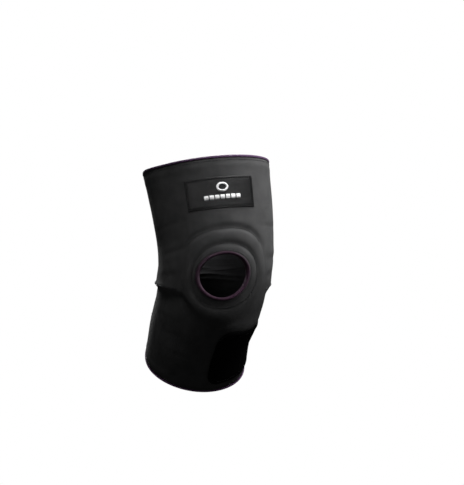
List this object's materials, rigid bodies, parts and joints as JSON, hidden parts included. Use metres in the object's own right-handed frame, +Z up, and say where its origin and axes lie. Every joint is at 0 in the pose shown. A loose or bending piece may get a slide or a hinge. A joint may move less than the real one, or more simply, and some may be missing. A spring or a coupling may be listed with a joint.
{
  "type": "knee brace",
  "caption": "Pull-on neoprene knee brace with an open kneecap window, a ring pad round it, a label and a hook-and-loop calf strap, bent as worn.",
  "frame": {"origin": "on the leg's axis at knee height, inside the sleeve, just above the level of the two side darts", "axes": "+Z up the leg, -Y out through the kneecap window, +X towards the inner side of a right leg"},
  "size_m": [0.1339, 0.1637, 0.2482],
  "materials": {
    "shell": "dark grey knit face over neoprene, soft sheen",
    "lining": "black knit lining",
    "edge_binding": "dark purple stretch tape",
    "pad_foam": "cloth-faced foam",
    "label_cloth": "near-black woven label, slight satin",
    "motif_thread": "white embroidery thread",
    "thread": "black sewing thread",
    "strap_loop": "deep black brushed loop tape",
    "hook_tape": "black nylon hook tape"
  },
  "bodies": {
    "thigh": {"thigh_front_panel": "shell", "thigh_back_panel": "shell", "thigh_hem_binding": "edge_binding", "thigh_hem_stitching": "thread", "thigh_seam_lateral": "thread", "thigh_seam_medial": "thread", "label_patch": "label_cloth", "label_stitching": "thread", "label_motif": "motif_thread", "label_bar": "motif_thread", "knee_front_panel": "shell", "popliteal_panel": "shell", "knee_seam_lateral": "thread", "knee_seam_medial": "thread", "side_dart_lateral": "thread", "side_dart_medial": "thread", "patella_pad": "pad_foam", "pad_lining": "lining", "window_binding": "edge_binding", "pad_stitching": "thread", "arch_stitching": "thread"},
    "calf": {"calf_front_panel": "shell", "calf_back_panel": "shell", "calf_hem_binding": "edge_binding", "calf_hem_stitching": "thread", "calf_seam_lateral": "thread", "calf_seam_medial": "thread", "strap_band": "strap_loop", "strap_root_stitching": "thread"},
    "strap_end": {"strap_tab": "strap_loop", "hook_patch": "hook_tape", "strap_tab_stitching": "thread"}
  },
  "joints": [
    {"name": "knee_flex", "type": "hinge", "parent": "thigh", "child": "calf", "pos_m": [0, -0.02, 0.005], "axis": [1, 0, 0], "range_deg": [-40, 35], "stiffness_Nm_per_rad": 1.5, "deforming": ["knee_front_panel", "popliteal_panel", "knee_seam_lateral", "knee_seam_medial", "side_dart_lateral", "side_dart_medial", "pad_lining", "window_binding", "pad_stitching", "arch_stitching"]},
    {"name": "strap_peel", "type": "hinge", "parent": "calf", "child": "strap_end", "pos_m": [0.04648, 0.00795, -0.06476], "axis": [0.1371, -0.3829, 0.9136], "range_deg": [0, 120]}
  ]
}
